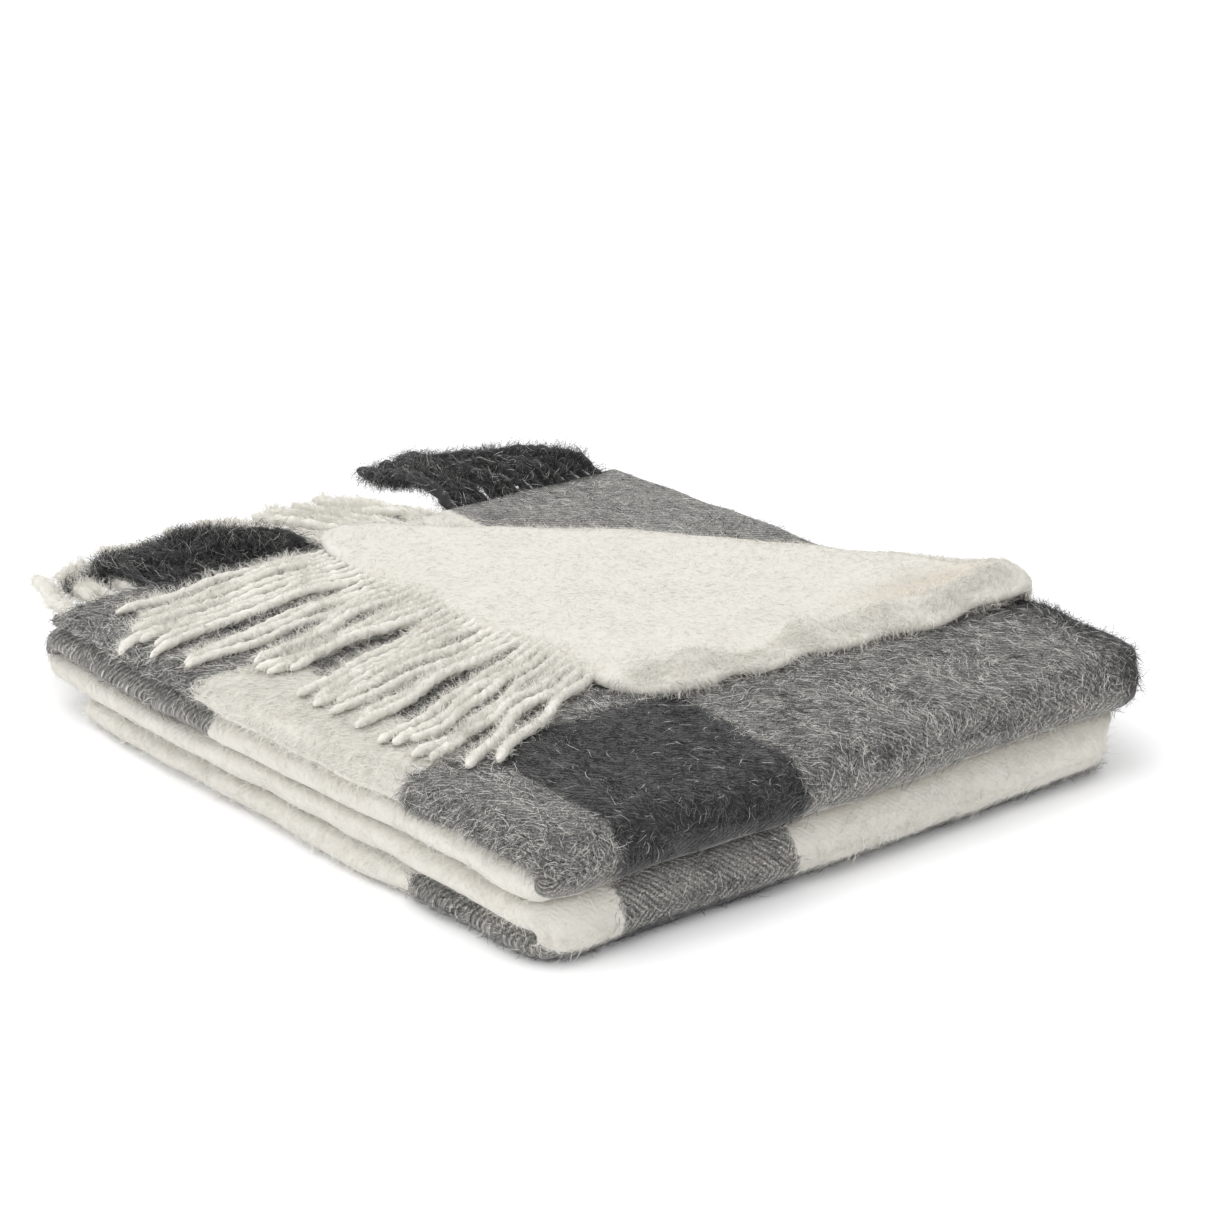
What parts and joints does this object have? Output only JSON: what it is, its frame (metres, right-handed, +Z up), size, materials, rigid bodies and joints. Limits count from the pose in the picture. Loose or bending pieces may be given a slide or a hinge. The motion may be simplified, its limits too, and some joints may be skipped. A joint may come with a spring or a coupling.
{
  "type": "folded throw blanket",
  "caption": "Woven throw folded into a flat stack of panels that open at their folds, with one corner turned over and fringed ends.",
  "frame": {"origin": "middle of the folded stack's footprint, on the surface that it rests on", "axes": "+X along the front folds to the right, +Y from the front folds to the back fold, +Z up"},
  "size_m": [0.3637, 0.4519, 0.0691],
  "materials": {
    "woven_cloth": "brushed woven wool in a large block check of warm white, mid grey and charcoal",
    "light_yarn": "twisted warm white wool yarn",
    "dark_yarn": "twisted charcoal wool yarn"
  },
  "bodies": {
    "bottom": {"bottom_panel": "woven_cloth", "bottom_fringe_light": "light_yarn", "bottom_fringe_dark": "dark_yarn"},
    "second": {"second_panel": "woven_cloth"},
    "third": {"third_panel": "woven_cloth"},
    "top": {"top_panel_under_plies": "woven_cloth", "top_plies": "woven_cloth", "top_fringe_light": "light_yarn", "top_fringe_dark": "dark_yarn", "under_fringe_light": "light_yarn", "under_fringe_dark": "dark_yarn"},
    "corner": {"turned_corner": "woven_cloth", "corner_fringe": "light_yarn"}
  },
  "joints": [
    {"name": "lower_front_fold", "type": "hinge", "parent": "bottom", "child": "second", "pos_m": [0, -0.1925, 0.014], "axis": [1, 0, 0], "range_deg": [0, 180]},
    {"name": "back_fold", "type": "hinge", "parent": "second", "child": "third", "pos_m": [0, 0.1925, 0.028], "axis": [1, 0, 0], "range_deg": [-180, 0]},
    {"name": "upper_front_fold", "type": "hinge", "parent": "third", "child": "top", "pos_m": [0, -0.1925, 0.042], "axis": [1, 0, 0], "range_deg": [0, 180]},
    {"name": "corner_crease", "type": "hinge", "parent": "top", "child": "corner", "pos_m": [0.09606, 0.04609, 0.06], "axis": [-0.6114, 0.7913, 0], "range_deg": [0, 175]}
  ],
  "couplings": [
    {"joint": "back_fold", "follows": "lower_front_fold", "ratio": -1}
  ]
}
